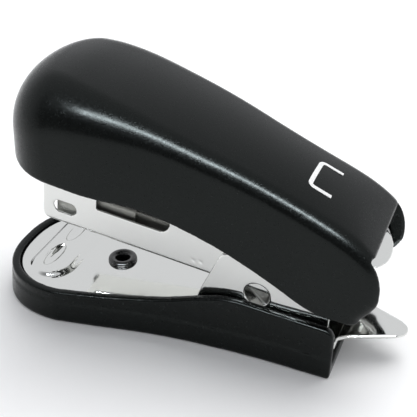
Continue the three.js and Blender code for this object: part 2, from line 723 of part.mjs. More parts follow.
stapler.add(base, magazine, handleSteel, piece("top_cover", topCover(), "blackPlastic"));

export default stapler;
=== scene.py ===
"""A mini stapler's looks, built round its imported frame.

Shapes are worked out in millimetres, with stations along X counted from the rear end of the base, as fields
that are negative inside the solid. The magazine and the handle's steel parts are worked out in frames of
their own, whose origin is the hinge pin.
"""
import itertools
import math

import bmesh
import bpy
import numpy as np
from mathutils import Matrix, Vector


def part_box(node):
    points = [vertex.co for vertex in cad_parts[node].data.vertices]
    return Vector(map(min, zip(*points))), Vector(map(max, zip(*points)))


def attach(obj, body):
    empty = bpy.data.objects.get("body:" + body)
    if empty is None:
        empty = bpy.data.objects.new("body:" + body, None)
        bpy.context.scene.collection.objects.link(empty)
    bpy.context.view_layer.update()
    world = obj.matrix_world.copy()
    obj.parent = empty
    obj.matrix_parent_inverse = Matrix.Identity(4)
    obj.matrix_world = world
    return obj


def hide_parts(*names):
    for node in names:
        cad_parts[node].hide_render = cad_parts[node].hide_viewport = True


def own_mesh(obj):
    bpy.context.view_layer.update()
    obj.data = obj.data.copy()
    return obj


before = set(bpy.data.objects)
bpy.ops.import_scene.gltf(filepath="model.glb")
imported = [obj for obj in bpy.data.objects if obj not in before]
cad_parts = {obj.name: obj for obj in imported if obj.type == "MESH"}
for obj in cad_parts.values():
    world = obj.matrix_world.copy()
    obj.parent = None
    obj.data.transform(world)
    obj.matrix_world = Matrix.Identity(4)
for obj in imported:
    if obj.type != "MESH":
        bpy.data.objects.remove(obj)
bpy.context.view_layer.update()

MM = 0.001
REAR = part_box("base_cover")[1][0] / MM  # row X of the base's rear end
PIN_X, PIN_Z = 0.5, 15.3
MAGAZINE_TILT, HANDLE_TILT = 7, 11  # degrees, nose up

# ---------------------------------------------------------------- fields

FINE = 0.1  # spacing of the stations that a curve is worked out at
PAST_END = 10  # how far a curve runs on straight past its ends
FAR_SIDE = -50  # where a plan outline is closed, well past the middle plane


def along(points, blur=1.2):
    """A smooth curve through [station, value] points, as a function of the station."""
    points = np.array(sorted(points), float)
    first = (points[1] - points[0]) / (points[1, 0] - points[0, 0])
    last = (points[-1] - points[-2]) / (points[-1, 0] - points[-2, 0])
    points = np.vstack([points[0] - PAST_END * first, points, points[-1] + PAST_END * last])
    stations, values = points.T
    slopes = np.gradient(values, stations)
    fine = np.arange(stations[0], stations[-1], FINE)
    i = np.clip(np.searchsorted(stations, fine, side="right") - 1, 0, len(stations) - 2)
    run = np.diff(stations)[i]
    t = (fine - stations[i]) / run
    level = 2 * t**3 - 3 * t**2 + 1
    bend = (t**3 - 2 * t**2 + t) * slopes[i] + (t**3 - t**2) * slopes[i + 1]
    curve = level * values[i] + (1 - level) * values[i + 1] + run * bend
    reach = int(30 * blur)  # steps, three times the blur
    kernel = np.exp(-0.5 * (np.arange(-reach, reach + 1) * FINE / blur) ** 2)
    padded = np.pad(curve, reach, mode="reflect", reflect_type="odd")
    curve = np.convolve(padded, kernel / kernel.sum(), mode="valid")
    return lambda x: np.interp(x, fine, curve)


def both(a, b, radius):
    """The space inside a and b, with the edge between them rounded."""
    over = np.hypot(np.maximum(a + radius, 0), np.maximum(b + radius, 0))
    return np.minimum(np.maximum(a, b), -radius) + over


def either(a, b, radius):
    """The space inside a or b, with a fillet in the corner between them."""
    return -both(-a, -b, radius)


def both_flat(a, b, reach):
    """As both, for two surfaces that meet at a flat angle: the blend is reach wide."""
    near = np.maximum(reach - np.abs(a - b), 0) / reach
    return np.maximum(a, b) + near * near * reach / 4


def without(a, b, radius=0.1):
    """The space inside a and outside b, with the edge between them rounded."""
    return both(a, -b, radius)


def line_distance(points, closed):
    """Distance to a line of points in a plane: signed if it is closed, negative inside."""
    points = np.array(points, float)
    ends = np.roll(points, -1, axis=0)
    pairs = list(zip(points, ends)) if closed else list(zip(points[:-1], points[1:]))

    def distance(u, v):
        u, v = np.broadcast_arrays(np.asarray(u, float), np.asarray(v, float))
        nearest = np.full(u.shape, np.inf)
        inside = np.zeros(u.shape, bool)
        for (au, av), (bu, bv) in pairs:
            du, dv = bu - au, bv - av
            t = np.clip(((u - au) * du + (v - av) * dv) / (du * du + dv * dv), 0, 1)
            nearest = np.minimum(nearest, (u - au - t * du) ** 2 + (v - av - t * dv) ** 2)
            if closed and dv != 0:
                inside ^= ((av > v) != (bv > v)) & (u < du * (v - av) / dv + au)
        return np.where(inside, -1.0, 1.0) * np.sqrt(nearest)

    return distance


def outline(points):
    return line_distance(points, True)


def arc(x, z, radius, start, end, steps=14):
    turns = np.radians(np.linspace(start, end, steps))
    return [(x + radius * math.cos(t), z + radius * math.sin(t)) for t in turns]


def curved(points, steps=6):
    """Points of a smooth curve through the given points."""
    points = np.array(points, float)
    padded = np.vstack([2 * points[0] - points[1], points, 2 * points[-1] - points[-2]])
    found = []
    for a, b, c, d in zip(padded, padded[1:], padded[2:], padded[3:]):
        for t in np.arange(steps) / steps:
            found.append(0.5 * (2 * b + (c - a) * t + (2 * a - 5 * b + 4 * c - d) * t**2
                                + (3 * b - a - 3 * c + d) * t**3))
    return [tuple(p) for p in found] + [tuple(points[-1])]


def plan(half, station, length, power, rear=12):
    """Distance to a plan outline with a blunt nose, as a function of x and |y|."""
    sides = [(x, half(x)) for x in np.arange(rear, station, -1.0)]
    turns = np.linspace(math.pi / 2, 0, 36)
    nose = [(station - length * math.cos(t) ** (2 / power), half(station) * math.sin(t) ** (2 / power))
            for t in turns]
    return outline([(rear, FAR_SIDE)] + sides + nose + [(station - length, FAR_SIDE)])


def slab(value, low, high):
    return np.maximum(low - value, value - high)


def rectangle(u, v, u_span, v_span):
    return np.maximum(slab(u, *u_span), slab(v, *v_span))


def box(x, y, z, x_span, y_span, z_span):
    return np.maximum(rectangle(x, y, x_span, y_span), slab(z, *z_span))


def slot_distance(u, v, centre_u, centre_v, length, width):
    """Distance to a slot with round ends, its length along u."""
    reach = (length - width) / 2
    along_u = np.maximum(np.abs(u - centre_u) - reach, 0)
    return np.hypot(along_u, v - centre_v) - width / 2


# ---------------------------------------------------------------- meshes

DRAWS = 3  # times that points are drawn onto a field's surface
PROBE = 0.02  # distance that a field's slope is measured over, in steps of the grid
STRIDE = 0.3  # the most that a point moves each time, in steps of the grid
FLAT = 1e-6  # keeps a field without a slope from dividing by nothing
WELD = 0.001 * MM  # points closer than this on a piece made from a field are one point


def surface_net(field, low, high, step):
    """Points and quads of a field's zero surface, from a grid of cells, then drawn onto the surface."""
    low = np.array(low, float)
    axes = [np.arange(a, b + step, step) for a, b in zip(low, high)]
    x, y, z = np.meshgrid(*axes, indexing="ij", sparse=True)
    values = np.array(np.broadcast_to(field(x, y, z), [len(a) for a in axes]))
    inside = values < 0
    size = np.array(values.shape) - 1
    corners = np.zeros(size, np.uint8)
    for i, j, k in itertools.product((0, 1), repeat=3):
        corners += inside[i:i + size[0], j:j + size[1], k:k + size[2]]
    cells = np.argwhere((corners > 0) & (corners < 8))
    number = np.full(size, -1, np.int64)
    number[tuple(cells.T)] = np.arange(len(cells))

    total = np.zeros((len(cells), 3))
    hits = np.zeros((len(cells), 1))
    for axis in range(3):
        for s, t in itertools.product((0, 1), repeat=2):
            start = np.zeros(3, int)
            start[(axis + 1) % 3] = s
            start[(axis + 2) % 3] = t
            end = start + np.eye(3, dtype=int)[axis]
            a = values[tuple((cells + start).T)]
            b = values[tuple((cells + end).T)]
            crossing = (a < 0) != (b < 0)
            place = (cells + start).astype(float)
            place[crossing, axis] += (a / np.where(crossing, a - b, 1))[crossing]
            total += place * crossing[:, None]
            hits += crossing[:, None]
    points = low + step * total / hits

    faces = []
    for axis in range(3):
        u, v = np.eye(3, dtype=int)[(axis + 1) % 3], np.eye(3, dtype=int)[(axis + 2) % 3]
        inner = [slice(1, -1)] * 3
        lower, upper = list(inner), list(inner)
        lower[axis], upper[axis] = slice(0, -1), slice(1, None)
        starts, ends = inside[tuple(lower)], inside[tuple(upper)]
        edges = np.argwhere(starts != ends)
        outward = starts[tuple(edges.T)]
        nodes = edges + 1 - np.eye(3, dtype=int)[axis]
        quads = np.stack([number[tuple((nodes - a * u - b * v).T)]
                          for a, b in ((1, 1), (0, 1), (0, 0), (1, 0))], axis=1)
        faces.append(np.where(outward[:, None], quads, quads[:, ::-1]))
    faces = np.vstack(faces)

    small = step * PROBE
    for _ in range(DRAWS):
        here = field(*points.T)
        slope = np.stack([(field(*(points + small * e).T) - here) / small for e in np.eye(3)], axis=1)
        move = slope * (here / (np.sum(slope**2, axis=1) + FLAT))[:, None]
        points -= np.clip(move, -STRIDE * step, STRIDE * step)
    return points, faces


def into_row(points, tilt=None):
    """From millimetres in the design frame, or in the pin's tilted frame, to metres in the row frame."""
    points = np.array(points, float)
    if tilt is not None:
        turn = math.radians(tilt)
        x = points[:, 0] * math.cos(turn) + points[:, 2] * math.sin(turn) + PIN_X
        z = points[:, 2] * math.cos(turn) - points[:, 0] * math.sin(turn) + PIN_Z
        points = np.stack([x, points[:, 1], z], axis=1)
    return (points + [REAR, 0, 0]) * MM


def weld_points(mesh):
    """Joins points that fell together on an edge, and so takes out the faces that have no area."""
    welded = bmesh.new()
    welded.from_mesh(mesh)
    bmesh.ops.remove_doubles(welded, verts=welded.verts, dist=WELD)
    welded.to_mesh(mesh)
    welded.free()


def mesh_piece(name, points, faces, body, slot, material, replaced=(), tilt=None, crisp=None, weld=False):
    """A piece with smooth shading, but for edges that turn by more than crisp degrees."""
    mesh = bpy.data.meshes.new(name)
    mesh.from_pydata(into_row(points, tilt).tolist(), [], [list(map(int, f)) for f in faces])
    mesh.polygons.foreach_set("use_smooth", [True] * len(mesh.polygons))
    mesh.materials.append(material)
    mesh.validate()
    if weld:
        weld_points(mesh)
    if crisp:
        mesh.set_sharp_from_angle(angle=math.radians(crisp))
    piece = bpy.data.objects.new(name, mesh)
    bpy.context.scene.collection.objects.link(piece)
    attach(piece, body)
    if replaced:
        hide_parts(*replaced)
    return piece


def field_piece(name, field, low, high, step, **options):
    points, faces = surface_net(field, low, high, step)
    return mesh_piece(name, points, faces, weld=True, **options)


def lathe(profile, segments=64):
    """Points and faces of a closed profile of [radius, height] turned about the third axis."""
    count = len(profile)
    points = [(r * math.cos(t), r * math.sin(t), h)
              for t in np.linspace(0, 2 * math.pi, segments, endpoint=False) for r, h in profile]
    faces = []
    for s in range(segments):
        a, b = s * count, (s + 1) % segments * count
        for k in range(count):
            n = (k + 1) % count
            faces.append((a + k, b + k, b + n, a + n))
    return np.array(points), faces


def tube(path, radius, sides=10):
    """Points and faces of a wire of round section along a path, with flat ends."""
    path = np.array(path, float)
    run = np.gradient(path, axis=0)
    run /= np.linalg.norm(run, axis=1)[:, None]
    side = np.cross(run, [1.0, 0.0, 0.0])
    side /= np.linalg.norm(side, axis=1)[:, None]
    up = np.cross(side, run)
    turns = np.linspace(0, 2 * math.pi, sides, endpoint=False)
    points = [p + radius * (math.cos(t) * s + math.sin(t) * w)
              for p, s, w in zip(path, side, up) for t in turns]
    faces = []
    for ring in range(0, (len(path) - 1) * sides, sides):
        for k in range(sides):
            n = (k + 1) % sides
            faces.append((ring + k, ring + n, ring + sides + n, ring + sides + k))
    faces.append(tuple(range(sides))[::-1])
    faces.append(tuple(range((len(path) - 1) * sides, len(path) * sides)))
    return np.array(points), faces


# ---------------------------------------------------------------- materials


class Nodes:
    """A material's nodes, with short ways to add the ones used here.

    The colour and roughness given at the start hold where no pattern is linked to them.
    """

    def __init__(self, name, colour, metallic, roughness):
        self.material = bpy.data.materials.new(name)
        self.material.use_nodes = True
        self.tree = self.material.node_tree
        self.shader = self.tree.nodes["Principled BSDF"]
        self.shader.inputs["Base Color"].default_value = (*colour, 1)
        self.shader.inputs["Metallic"].default_value = metallic
        self.shader.inputs["Roughness"].default_value = roughness
        self.place = self.tree.nodes.new("ShaderNodeTexCoord").outputs["Object"]
        self.heights = None

    def link(self, source, target):
        self.tree.links.new(source, target)

    def noise(self, size, detail=3, stretch=(1, 1, 1), roughness=0.5):
        """Noise with features of about that size in metres, longer along an axis with a small stretch."""
        mapping = self.tree.nodes.new("ShaderNodeMapping")
        mapping.inputs["Scale"].default_value = stretch
        node = self.tree.nodes.new("ShaderNodeTexNoise")
        node.inputs["Scale"].default_value = 1 / size
        node.inputs["Detail"].default_value = detail
        node.inputs["Roughness"].default_value = roughness
        self.link(self.place, mapping.inputs["Vector"])
        self.link(mapping.outputs["Vector"], node.inputs["Vector"])
        return node.outputs["Fac"]

    def specks(self, size):
        """A value of its own in each of many small cells."""
        node = self.tree.nodes.new("ShaderNodeTexVoronoi")
        node.inputs["Scale"].default_value = 1 / size
        self.link(self.place, node.inputs["Vector"])
        split = self.tree.nodes.new("ShaderNodeSeparateColor")
        self.link(node.outputs["Color"], split.inputs["Color"])
        return split.outputs["Red"]

    def spread(self, value, low, high, start=0.0, end=1.0):
        """The range from start to end of a value, stretched to run from low to high."""
        node = self.tree.nodes.new("ShaderNodeMapRange")
        settings = {"From Min": start, "From Max": end, "To Min": low, "To Max": high}
        for key, number in settings.items():
            node.inputs[key].default_value = number
        self.link(value, node.inputs["Value"])
        return node.outputs["Result"]

    def blend(self, value, first, second):
        node = self.tree.nodes.new("ShaderNodeMix")
        node.data_type = "RGBA"
        node.inputs["A"].default_value = (*first, 1)
        node.inputs["B"].default_value = (*second, 1)
        self.link(value, node.inputs["Factor"])
        return node.outputs["Result"]

    def bump(self, value, depth):
        """Relief of that depth in metres, on top of any relief that is there already."""
        node = self.tree.nodes.new("ShaderNodeBump")
        node.inputs["Distance"].default_value = depth
        node.inputs["Strength"].default_value = 1.0
        self.link(value, node.inputs["Height"])
        if self.heights:
            self.link(self.heights, node.inputs["Normal"])
        self.heights = node.outputs["Normal"]
        self.link(self.heights, self.shader.inputs["Normal"])


def black_plastic():
    """Moulded plastic, satin, with a fine sparkling grain and faint cloudiness."""
    nodes = Nodes("black_plastic", (0.004, 0.0043, 0.0041), 0.0, 0.32)
    clouds = nodes.noise(0.012, 2)
    cloudy = nodes.spread(clouds, 0, 1, 0.35, 0.65)
    colour = nodes.blend(cloudy, (0.0018, 0.0021, 0.002), (0.003, 0.0034, 0.0032))
    nodes.link(colour, nodes.shader.inputs["Base Color"])
    grain = nodes.noise(0.00022, 4, roughness=0.65)
    specks = nodes.specks(0.00019)
    nodes.link(nodes.spread(specks, 0.16, 0.28), nodes.shader.inputs["Roughness"])
    nodes.bump(grain, 0.000006)
    nodes.bump(specks, 0.000003)
    nodes.shader.inputs["Specular IOR Level"].default_value = 0.2
    nodes.shader.inputs["Specular Tint"].default_value = (0.88, 0.97, 0.94, 1)
    return nodes.material


def nickel():
    """Bright plated sheet: near mirror, very slightly wavy, with hairline scratches."""
    nodes = Nodes("nickel_plate", (0.72, 0.725, 0.705), 1.0, 0.14)
    smears = nodes.noise(0.006, 4)
    nodes.link(nodes.spread(smears, 0.05, 0.12, 0.3, 0.7), nodes.shader.inputs["Roughness"])
    nodes.bump(nodes.noise(0.009, 1), 0.00003)
    nodes.bump(nodes.noise(0.0006, 3, stretch=(0.04, 1, 1)), 0.0000012)
    return nodes.material


def drawn_steel():
    """Plain steel, with streaks along its length."""
    nodes = Nodes("spring_steel", (0.52, 0.52, 0.51), 1.0, 0.3)
    streaks = nodes.noise(0.0004, 3, stretch=(0.05, 1, 1))
    nodes.link(nodes.spread(streaks, 0.22, 0.42), nodes.shader.inputs["Roughness"])
    nodes.bump(streaks, 0.000003)
    return nodes.material


def zinc():
    """Dull grey plating."""
    nodes = Nodes("zinc_plate", (0.42, 0.42, 0.39), 1.0, 0.6)
    patches = nodes.noise(0.0012, 4)
    nodes.link(nodes.spread(patches, 0.52, 0.68), nodes.shader.inputs["Roughness"])
    nodes.bump(patches, 0.000004)
    return nodes.material


def black_steel():
    """Blackened steel, unevenly glossy, under a thin clear coat."""
    nodes = Nodes("black_steel", (0.006, 0.006, 0.0065), 0.0, 0.22)
    wear = nodes.noise(0.0008, 4)
    nodes.link(nodes.spread(wear, 0.14, 0.34), nodes.shader.inputs["Roughness"])
    nodes.bump(wear, 0.000008)
    nodes.shader.inputs["Coat Weight"].default_value = 0.4
    nodes.shader.inputs["Coat Roughness"].default_value = 0.12
    return nodes.material


def white_print():
    """White paint, a little thin in places."""
    nodes = Nodes("white_print", (0.8, 0.8, 0.79), 0.0, 0.5)
    thin = nodes.noise(0.0003, 3)
    colour = nodes.blend(nodes.spread(thin, 0, 1, 0.3, 0.6), (0.68, 0.69, 0.69), (0.84, 0.84, 0.83))
    nodes.link(colour, nodes.shader.inputs["Base Color"])
    nodes.bump(thin, 0.000004)
    return nodes.material


def table_top():
    """The plain pale floor, which isn't part of the stapler."""
    nodes = Nodes("pale_floor", (0.94, 0.94, 0.94), 0.0, 0.75)
    nodes.shader.inputs["Specular IOR Level"].default_value = 0.2
    return nodes.material


PLASTIC = black_plastic()
NICKEL = nickel()
STEEL = drawn_steel()
ZINC = zinc()
BLACK_STEEL = black_steel()

# ---------------------------------------------------------------- top cover

RIDGE = along([[12, 21.6], [0, 26.9], [-10, 31.2], [-20, 35.3], [-30, 38.9], [-38, 41.3], [-44, 42.5],
               [-50, 42.3], [-58, 40.2]])
SHOULDER = along([[12, 2.4], [-15, 2.4], [-28, 3.2], [-38, 5.2], [-48, 7.6], [-58, 8.5]])
LOW_EDGE = along([[-62, 30.2], [-55, 28.8], [-49, 27.6], [-44, 26.7], [-40, 25.9], [-30, 24.4], [-20, 20.8],
                  [-10, 15.4], [-4, 12.2], [1.5, 11.4], [8, 11.4]], blur=0.8)
COVER_HALF = along([[12, 9.6], [0, 9.6], [-10, 9.5], [-15, 9.8], [-20, 10.4], [-30, 11.5], [-38, 12.8],
                    [-45, 13.3]])
COVER_NOSE = -45  # station that the nose's curve starts from
COVER_PLAN = plan(COVER_HALF, COVER_NOSE, 9.9, 2.1)
TAIL = outline([(3.0, 8), (4.0, 12.0)]
               + curved([[5.2, 13.4], [6.2, 15.2], [6.4, 17.2], [6.2, 19.2], [5.5, 21.2], [4.25, 22.9],
                         [2.2, 24.9], [-0.5, 27.2], [-4, 29.6]])
               + [(-80, 80), (-80, 8)])
CROWN = 1.2  # fall of the top from its ridge to its edges
LEAN = 0.035  # outward slope of the walls, per millimetre down
LEAN_FOOT = 8  # height that the slope is scaled to
COVER_WALL = 1.1
INNER_SHOULDER = 0.6  # the least radius inside the shoulder
NOTCH_X, NOTCH_Z = 0.4, 22.4  # behind and above these the tail is solid, over the notch between its lobes
TAIL_BLEND, LOBE_BLEND = 1.6, 1.2  # widths of the blends at the top and the bottom of the tail's curve
MOUTH_EDGE, NOTCH_EDGE, LOW_ROUNDING = 0.45, 0.3, 0.28  # roundings of the shell's edges

POSTS = (-35, -22)  # stations of the screw posts, in the handle's frame
POST_RADIUS, POST_FOOT = 2.1, 9.5
SCREW_HOLE, SCREW_HOLE_TOP = 1.15, 13


def crest(x, y):
    """Height of the cover's top."""
    return RIDGE(x) - CROWN * (y / COVER_HALF(np.maximum(x, COVER_NOSE))) ** 2


def cover_field(x, y, z):
    ridge, shoulder = RIDGE(x), SHOULDER(x)
    start = ridge - shoulder
    lean = LEAN * (ridge - LEAN_FOOT) / (start - LEAN_FOOT) * np.maximum(start - z, -1)
    wall = COVER_PLAN(x, np.abs(y)) - lean
    top = z - crest(x, y)
    tail = TAIL(x, z)
    outside = both(wall, both_flat(top, tail, TAIL_BLEND), shoulder)
    inner = both(wall + COVER_WALL, top + COVER_WALL, np.maximum(shoulder - COVER_WALL, INNER_SHOULDER))
    hollow = both(inner, np.minimum(x - NOTCH_X, z - NOTCH_Z), NOTCH_EDGE)
    shell = without(outside, hollow, MOUTH_EDGE)
    low = LOW_EDGE(x) - z
    shell = both(shell, both_flat(low, tail, LOBE_BLEND), LOW_ROUNDING)
    return np.minimum(shell, np.maximum(posts(x, y, z), inner))


def posts(x, y, z):
    """The two posts inside the cover, with a hole in each for its screw."""
    turn = math.radians(HANDLE_TILT)
    u = (x - PIN_X) * math.cos(turn) - (z - PIN_Z) * math.sin(turn)
    w = (x - PIN_X) * math.sin(turn) + (z - PIN_Z) * math.cos(turn)
    found = None
    for station in POSTS:
        away = np.hypot(u - station, y)
        hole = np.maximum(away - SCREW_HOLE, w - SCREW_HOLE_TOP)
        post = without(both(away - POST_RADIUS, POST_FOOT - w, 0.15), hole)
        found = post if found is None else np.minimum(found, post)
    return found


field_piece("top_cover_shell", cover_field, (-57, -15.5, 9.5), (8.5, 15.5, 44.5), 0.3,
            body="handle", slot="black_plastic", material=PLASTIC, replaced=["top_cover"])

# ---------------------------------------------------------------- base

BASE_HALF = along([[12, 10.3], [0, 10.3], [-13, 10.0], [-30, 11.1], [-40, 12.9], [-46, 13.9]])
BASE_PLAN = plan(BASE_HALF, -46, 14, 2.3)
STEP_HEIGHTS = [-1, 0.0, 3.55, 3.75, 14]  # the side draws in as it rises, with a small step on the way
STEP_INSETS = [0.15, 0.1, 0.5, 0.66, 0.8]
RIM = along([[0, 8.8], [-10, 9.3], [-18, 9.7], [-23, 8.4], [-28, 7.0], [-34, 6.2], [-42, 5.7], [-60, 5.5]])
BASE_WALL, BASE_FLOOR = 1.35, 2.0
PLATE_LOW, PLATE_TOP = 4.4, 5.0
EYELET_X, EYELET_HOLE = -40, 1.75
BOSS_RADIUS = 3.2  # the base's seat for the eyelet
RIB_STOP = 2.6  # the ribs end that far from the eyelet's centre
RIB_X, RIB_HALF = (-51, -3), 7.4
RIB_Z = (1, PLATE_LOW - 0.1)
LONG_RIB = (5.0, 6.0)
CROSS_GAP, CROSS_HALF = 20, 0.5  # spacing of the cross ribs, and half their thickness


def base_field(x, y, z):
    inset = np.interp(z, STEP_HEIGHTS, STEP_INSETS)
    plan_distance = BASE_PLAN(x, np.abs(y))
    side = both(z - RIM(x), x, 1.6)
    outside = both(both(plan_distance + inset, side, 0.35), -z, 0.4)
    hollow = both(plan_distance + inset + BASE_WALL, BASE_FLOOR - z, 0.5)
    shell = without(outside, hollow, 0.3)
    away = np.hypot(x - EYELET_X, y)
    cross = (x + CROSS_GAP / 2) % CROSS_GAP - CROSS_GAP / 2
    ribs = np.minimum(slab(np.abs(y), *LONG_RIB), slab(cross, -CROSS_HALF, CROSS_HALF))
    ribs = np.maximum(ribs, box(x, y, z, RIB_X, (-RIB_HALF, RIB_HALF), RIB_Z))
    boss = rectangle(away, z, (EYELET_HOLE, BOSS_RADIUS), RIB_Z)
    return np.minimum(shell, np.minimum(np.maximum(ribs, RIB_STOP - away), boss))


field_piece("base_shell", base_field, (-61, -15, -1), (1, 15, 11), 0.36,
            body="base", slot="black_plastic", material=PLASTIC, replaced=["base_cover"])

PLATE_INSET = 0.75 + BASE_WALL + 0.15  # from the base's outline to the plate's edge
PAD_X, PAD_REACH, PAD_HALF = -50.5, 5.5, 4.3  # the raised anvil, a slot-shaped pillow
PAD_HEIGHT, PAD_RAMP = 0.7, 1.15
GROOVE_X, GROOVE_Y, GROOVE_DEPTH = -51.2, 3.85, 0.85
GROOVE_HALF = (1.25, 3.3)  # half of each groove's size along x and y
WING_OUT, WING_SHEET, WING_EAR = 7.75, 0.42, 3.3
WING_HOLE_X, WING_HOLE_Z, WING_HOLE = -12.8, 10.9, 2.1
FRAME_BORE = 1.6  # radius of the holes for the pin, here and in the magazine and the bracket
WING = outline([(-27.5, PLATE_LOW), (-25.5, PLATE_LOW)]
               + curved([(-24.2, 4.9), (-23.2, 6.6), (-22.3, 9.2), (-20.6, 13.0), (-19.4, 15.6),
                         (-18.5, 17.0), (-16.8, 17.5)])
               + arc(PIN_X, PIN_Z, WING_EAR, 90, -118, 20) + [(-1.6, PLATE_LOW)])
TONGUE = outline([(-3, -6.4), (-0.5, -6.4), (1.2, -5.0), (7.4, -2.35)]
                 + curved([(8.4, -1.9), (9.3, -1.0), (9.6, 0), (9.3, 1.0), (8.4, 1.9)])
                 + [(7.4, 2.35), (1.2, 5.0), (-0.5, 6.4), (-3, 6.4)])
CATCH = (-40.0, -32.5)  # stations of the two catches in the plate's long edges
CATCH_REACH, CATCH_DEPTH = 0.75, 0.32


def anvil(x, y):
    """Height of the raised anvil and its two clinching grooves above the plate."""
    pad = np.hypot(x - PAD_X, np.maximum(np.abs(y) - PAD_REACH, 0)) - PAD_HALF
    rise = np.clip(-pad / PAD_RAMP, 0, 1)
    rise = PAD_HEIGHT * rise * rise * (3 - 2 * rise)
    half_x, half_y = GROOVE_HALF
    groove = 1 - ((x - GROOVE_X) / half_x) ** 2 - ((np.abs(y) - GROOVE_Y) / half_y) ** 2
    return rise - GROOVE_DEPTH * np.sqrt(np.maximum(groove, 0) + 1e-4)


def frame_field(x, y, z):
    far = np.abs(y)
    edge = BASE_PLAN(x, far) + PLATE_INSET
    catch = np.maximum(slab(x, *CATCH), -(edge + CATCH_REACH))
    plate = both(np.maximum(edge, x), z - PLATE_TOP - anvil(x, y), 0.12)
    plate = np.maximum(np.maximum(plate, PLATE_LOW - z), -np.maximum(catch, PLATE_TOP - CATCH_DEPTH - z))
    wing = both(WING(x, z), slab(far, WING_OUT - WING_SHEET, WING_OUT), 0.1)
    wing = without(wing, np.hypot(x - WING_HOLE_X, z - WING_HOLE_Z) - WING_HOLE)
    wing = np.maximum(wing, FRAME_BORE - np.hypot(x - PIN_X, z - PIN_Z))
    tongue = both(TONGUE(x, y), slab(z, PLATE_LOW, PLATE_TOP), 0.15)
    sheet = either(either(plate, wing, 0.5), tongue, 0.1)
    return np.maximum(sheet, EYELET_HOLE - np.hypot(x - EYELET_X, y))


field_piece("base_sheet", frame_field, (-59.5, -13.2, 3.8), (10.4, 13.2, 19.2), 0.2,
            body="base", slot="nickel_plate", material=NICKEL, replaced=["base_frame"])

LIP_MIDDLE, LIP_REACH, LIP_HEIGHT, LIP_RISE = 1.85, 0.62, 0.28, 0.46  # the eyelet's rolled edge
eyelet_lip = [(LIP_MIDDLE + LIP_REACH * math.cos(t), PLATE_TOP + LIP_HEIGHT + LIP_RISE * math.sin(t))
              for t in np.linspace(0.05, 2.5, 14)]
eyelet_points, eyelet_faces = lathe(
    [(1.08, 2.3), (1.55, 2.3), (1.58, PLATE_TOP + 0.05), (2.42, PLATE_TOP + 0.05), (2.5, PLATE_TOP + 0.16)]
    + eyelet_lip + [(1.2, PLATE_TOP + 0.36), (1.1, PLATE_TOP - 0.1)])
mesh_piece("plate_eyelet", eyelet_points + [EYELET_X, 0, 0], eyelet_faces, body="base", slot="black_steel",
           material=BLACK_STEEL, replaced=["base_eyelet"])

LEAF_HALF, LEAF_SHEET = 3.0, 0.4


def leaf_spring(name, line, low, high, **options):
    """A strip of spring steel that follows a curve through a line of points."""
    middle = line_distance(curved(line), False)

    def strip(x, y, z):
        return both(middle(x, z) - LEAF_SHEET / 2, np.abs(y) - LEAF_HALF, 0.1)

    return field_piece(name, strip, low, high, 0.2, slot="spring_steel", material=STEEL, **options)


magazine_leaf = leaf_spring(
    "magazine_leaf", [(-7.5, 5.27), (-12.0, 5.27), (-13.6, 5.9), (-17.2, 9.6), (-19.2, 10.9), (-20.6, 10.9),
                      (-21.7, 10.3)],
    (-23, -4, 4), (-6, 4, 12), body="base", replaced=["magazine_spring"])
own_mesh(magazine_leaf)

PIN_HALF, PIN_RADIUS, PIN_CHAMFER = 8.7, 1.5, 0.2
PIN_MIDDLE = 0.001  # the end faces stop just short of the axis
pin_end = [(PIN_MIDDLE, PIN_HALF), (PIN_RADIUS - PIN_CHAMFER, PIN_HALF),
           (PIN_RADIUS, PIN_HALF - PIN_CHAMFER)]
pin_points, pin_faces = lathe([(r, -h) for r, h in pin_end] + pin_end[::-1], 40)
pin_points = pin_points[:, [0, 2, 1]] * [1, 1, -1] + [PIN_X, 0, PIN_Z]
mesh_piece("axle", pin_points, pin_faces, body="base", slot="spring_steel", material=STEEL,
           replaced=["hinge_pin"])

# ---------------------------------------------------------------- magazine, in its own frame

CHANNEL_OUT, CHANNEL_IN = 7.1, 6.75
CHANNEL_LOW, CHANNEL_FLOOR, CHANNEL_TOP = -6.0, -5.6, 4.4
CHANNEL_FRONT, FRONT_SHEET = -50.9, 0.5
CHANNEL = outline([(CHANNEL_FRONT, 2.4)] + arc(-48.5, -3.6, 2.4, 180, 270)
                  + curved([(-4.0, CHANNEL_LOW), (-1.2, -5.5), (1.0, -4.1), (2.5, -2.0)])
                  + arc(0, 0, 3.0, 0, 90, 16) + [(-3.5, CHANNEL_TOP), (-49.4, CHANNEL_TOP)])
DIMPLES = ((-23.8, -4.1), (-22.5, -4.0))  # two small punch marks in each side
DIMPLE_DEPTH, DIMPLE_RADIUS = 0.12, 0.35
FLOOR_HALF = 6.5  # half the width of the openings at the floor's two ends
MOUTH_REAR, MOUTH_TOP = -48.8, -3.6  # where the staples leave
FLOOR_REAR, FLOOR_END_TOP = -1.5, -4.6
WINDOW = (-34.7, 0.75, 12.6, 3.1)  # the middle's place, the length and the width
WINDOW_END = ((-41, -38), (-0.8, 2.3))  # the window's front end is square
SLOT = (-46.6, -2.6, 4.2, 2.2)
SHEET_EDGE = 0.12  # rounding of a cut edge


